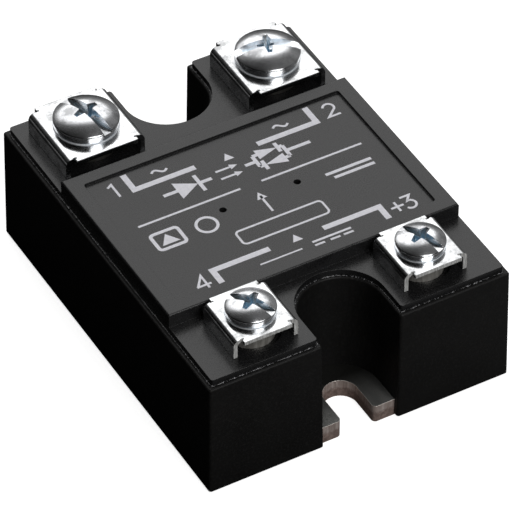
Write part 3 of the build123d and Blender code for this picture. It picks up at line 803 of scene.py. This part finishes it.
def build_legend():
    """The panel's print: numbers, brackets and circuit symbols only."""
    panel_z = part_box("cover")[1].z / MM - PANEL_DEPTH
    layers = itertools.cycle(range(INK_LAYERS))

    def next_top():
        return panel_z + INK_THICKNESS + INK_STEP * next(layers)

    bm = bmesh.new()
    for points, width in legend_strokes():
        stroke(bm, points, width, panel_z, next_top())
    for points, width in legend_outlines():
        stroke(bm, points, width, panel_z, next_top(), closed=True)
    for corners in legend_solids():
        prism(bm, corners, panel_z, next_top())
    bm.transform(Matrix.Scale(MM, 4))
    legend = mesh_object("panel_legend_print", bm)
    paint(legend, INK)
    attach(legend, "housing")


# ---------------------------------------------------------------- sealant
def seam_path(inset):
    """The seam between cover and case in plan: a rectangle with a U notch in each end."""
    far_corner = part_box("cover")[1] / MM
    half_width = far_corner.x + COVER_INSET - inset
    half_length = far_corner.y + COVER_INSET - inset
    notch_r = NOTCH_R + inset - NOTCH_LIP_SAVING
    corner = CASE_CORNER_R
    side = [(notch_r, half_length)]
    side += arc(half_width - corner, half_length - corner, corner, 90, 0, 4)
    side += [(x, -y) for x, y in side[::-1]]
    front_notch = arc(0, -MOUNT_Y, notch_r, 0, 180, 24)
    other_side = [(-x, -y) for x, y in side]
    back_notch = [(-x, -y) for x, y in front_notch]
    return side + front_notch + other_side + back_notch


def spaced(points, step):
    """The same closed path with points about one step apart."""
    result = []
    for start, end in zip(points, points[1:] + points[:1]):
        start, end = Vector(start), Vector(end)
        pieces = max(1, round((end - start).length / step))
        result += [start.lerp(end, i / pieces) for i in range(pieces)]
    return result


def build_seal_bead():
    """Sealant squeezed out of the seam: a thin bead whose thickness wanders, with small lumps."""
    seam_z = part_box("case")[1].z / MM
    path = spaced(seam_path((LIP_WALL + COVER_INSET) / 2), BEAD_STEP)
    ring_steps = 8
    bm = bmesh.new()
    rings = []
    for i, here in enumerate(path):
        ahead = path[(i + 1) % len(path)] - path[i - 1]
        outward = Vector((ahead.y, -ahead.x)).normalized()
        wander = noise.noise(Vector((here.x * 0.9, here.y * 0.9, 0.0)))
        speck = max(0.0, noise.noise(Vector((here.x * 2.3, here.y * 2.3, SPECK_LAYER))) - 0.1)
        radius = BEAD_R * (0.7 + 0.4 * wander + 1.6 * speck)
        ring = []
        for k in range(ring_steps):
            angle = 2 * math.pi * k / ring_steps
            across = outward * (radius * math.cos(angle))
            height = seam_z + radius * math.sin(angle)
            ring.append(bm.verts.new((here.x + across.x, here.y + across.y, height)))
        rings.append(ring)
    for ring, following in zip(rings, rings[1:] + rings[:1]):
        for k in range(ring_steps):
            m = (k + 1) % ring_steps
            bm.faces.new((ring[k], ring[m], following[m], following[k]))
    bm.transform(Matrix.Scale(MM, 4))
    bead = mesh_object("seal_squeeze_out", bm)
    for face in bead.data.polygons:
        face.use_smooth = True
    paint(bead, SEALANT)
    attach(bead, "housing")


# ---------------------------------------------------------------- studio
def direction(azimuth_deg, elevation_deg):
    """Unit vector from the object towards a place in the studio. Azimuth 0 is the front, -Y."""
    azimuth, elevation = math.radians(azimuth_deg), math.radians(elevation_deg)
    flat = math.cos(elevation)
    return Vector((math.sin(azimuth) * flat, -math.cos(azimuth) * flat, math.sin(elevation)))


def dot_with(tree, vector, axis):
    """The dot product of a vector socket and a fixed axis."""
    node = add(tree, "VectorMath", "DOT_PRODUCT")
    tree.links.new(vector, node.inputs[0])
    node.inputs[1].default_value = axis
    return node.outputs["Value"]


def build_floor():
    """Pale floor. The camera sees it bright; what the object mirrors of it is pale in front only.

    It is clear from below and to rays that start in the gap over it, so the underside can be seen.
    """
    bm = bmesh.new()
    half = 2.0
    outline = ((-half, -half), (half, -half), (half, half), (-half, half))
    bm.faces.new([bm.verts.new((x, y, -FLOOR_GAP)) for x, y in outline])
    floor = mesh_object("floor", bm)
    material, tree, shader = new_material("pale_floor", Roughness=0.9, Specular_IOR_Level=0.0)
    path = tree.nodes.new("ShaderNodeLightPath")
    seen = path.outputs["Is Camera Ray"]
    place = tree.nodes.new("ShaderNodeTexCoord")
    ahead = dot_with(tree, place.outputs["Object"], direction(FLOOR_CARD_AZIMUTH, 0))
    card = value_range(tree, ahead, 0, 1, 0.012, 0.045)
    span = add(tree, "VectorMath", "LENGTH")
    tree.links.new(place.outputs["Object"], span.inputs[0])
    far = value_range(tree, span.outputs["Value"], 0, 1, 0.08, 0.22)
    around = blend_colours(tree, far, FLOOR_DARK, FLOOR_FAR)
    mirrored = blend_colours(tree, card, around, FLOOR_CARD)
    tree.links.new(blend_colours(tree, seen, mirrored, grey(0.8)), shader.inputs["Base Color"])
    geometry = tree.nodes.new("ShaderNodeNewGeometry")
    ray_length = path.outputs["Ray Length"]
    started_in_gap = value_range(tree, ray_length, 1, 0, 4 * FLOOR_GAP, 5 * FLOOR_GAP)
    clear = combine(tree, "MAXIMUM", started_in_gap, geometry.outputs["Backfacing"])
    tree.links.new(combine(tree, "SUBTRACT", 1.0, clear), shader.inputs["Alpha"])
    shader.inputs["Emission Color"].default_value = (1, 1, 1, 1)
    glow = combine(tree, "MULTIPLY", seen, FLOOR_GLOW)
    tree.links.new(glow, shader.inputs["Emission Strength"])
    paint(floor, material)


def build_sky():
    """A white tent behind and over the object, grey round it and below, dark on the camera's side.

    The camera itself sees plain white.
    """
    world = bpy.data.worlds.new("studio")
    bpy.context.scene.world = world
    world.use_nodes = True
    tree = world.node_tree
    look = tree.nodes.new("ShaderNodeTexCoord").outputs["Generated"]

    # The tent is an ellipse round its centre: across and up are its half axes, as sines.
    centre = direction(TENT_AZIMUTH, TENT_ELEVATION)
    across = Vector((-centre.y, centre.x, 0)).normalized()
    up = centre.cross(across)
    squares = []
    for axis, half_angle in ((across, TENT_HALF_WIDTH), (up, TENT_HALF_HEIGHT)):
        share = dot_with(tree, look, axis / math.sin(math.radians(half_angle)))
        squares.append(combine(tree, "POWER", share, 2.0))
    reach = combine(tree, "ADD", *squares)
    inside = value_range(tree, reach, 1, 0, 0.86, 1.14)
    ahead = value_range(tree, dot_with(tree, look, centre), 0, 1, 0.0, 0.1)
    tent = combine(tree, "MULTIPLY", inside, ahead)

    toward_horizon = dot_with(tree, look, direction(HORIZON_AZIMUTH, HORIZON_ELEVATION))
    upward = dot_with(tree, look, Vector((0, 0, 1)))
    downward = dot_with(tree, look, Vector((0, 0, -1)))
    horizon = value_range(tree, toward_horizon, 0, HORIZON_GREY, -0.1, 0.8)
    overhead = value_range(tree, upward, 0, OVERHEAD_GREY, 0.75, 0.97)
    below = value_range(tree, downward, 0, BELOW_GREY, 0.1, 0.5)
    surround = combine(tree, "ADD", combine(tree, "ADD", horizon, overhead), below)
    light = add_values(tree, surround, tent, TENT_RADIANCE)

    seen = tree.nodes.new("ShaderNodeLightPath").outputs["Is Camera Ray"]
    backdrop = blend_colours(tree, seen, light, grey(1.0))
    tree.links.new(backdrop, tree.nodes["Background"].inputs["Color"])


def aim(thing, target, away, distance):
    """Stands a light or camera off from the target and points it back there."""
    thing.location = target + away * distance
    thing.rotation_euler = away.to_track_quat("Z", "Y").to_euler()


def build_lamp():
    """An oval lamp in front of the object."""
    data = bpy.data.lights.new("front_lamp", "AREA")
    data.shape = "ELLIPSE"
    data.size = LAMP_WIDTH
    data.size_y = LAMP_HEIGHT
    data.energy = LAMP_POWER
    lamp = bpy.data.objects.new("front_lamp", data)
    bpy.context.scene.collection.objects.link(lamp)
    aim(lamp, LAMP_TARGET, direction(LAMP_AZIMUTH, LAMP_ELEVATION), LAMP_DISTANCE)


def build_camera():
    """The camera at the reference view."""
    data = bpy.data.cameras.new("camera")
    data.angle = math.radians(CAMERA_FOV)
    data.clip_start = 0.01
    camera = bpy.data.objects.new("camera", data)
    bpy.context.scene.collection.objects.link(camera)
    aim(camera, CAMERA_TARGET, direction(CAMERA_AZIMUTH, CAMERA_ELEVATION), CAMERA_DISTANCE)
    bpy.context.scene.camera = camera
    bpy.context.scene.view_settings.view_transform = "Standard"


ZINC = (0.88, 0.89, 0.90)
SCREW_ZINC = (0.86, 0.87, 0.89)
# Colour of the clamps' hollows: painted shade.
CLAMP_HOLLOW_SHADE = (0.45, 0.52, 0.58)
# Colour of the screws' hollows: the blue of their passivation, darker as painted shade.
SCREW_BLUE_AND_HOLLOW_SHADE = (0.50, 0.74, 0.90)

SEALANT = glossy_sealant()
PLATED_POST = plated_post("plated_post", (0.46, 0.44, 0.40), (0.76, 0.74, 0.69))
# The output posts' plating, darker: painted shade under the output clamps.
SHADED_POST = plated_post("shaded_post", (0.05, 0.048, 0.044), (0.12, 0.115, 0.105))
# The output clamps' edges get a painted dark reflection.
ZINC_CLAMP = bright_zinc("zinc_clamp", ZINC, CLAMP_HOLLOW_SHADE, 0.14, 0.12, rim=grey(0.2))
ZINC_CLAMP_SHEARED = bright_zinc("zinc_clamp_sheared", ZINC, CLAMP_HOLLOW_SHADE, 0.14, 0.1, sheared=True)
ZINC_SCREW = {}
for end in ENDS:
    seat_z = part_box(f"{end}_clamp_left")[1].z
    ZINC_SCREW[end] = bright_zinc(
        f"zinc_screw_{end}", SCREW_ZINC, SCREW_BLUE_AND_HOLLOW_SHADE, 0.17, 0.05, flange_z=seat_z
    )
INK = printed_ink()

paint_outside_nodes(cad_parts)
paint_inside_nodes(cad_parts)
for end in ENDS:
    for hand in HANDS:
        build_screw(end, hand)
build_legend()
build_seal_bead()
build_floor()
build_sky()
build_lamp()
build_camera()
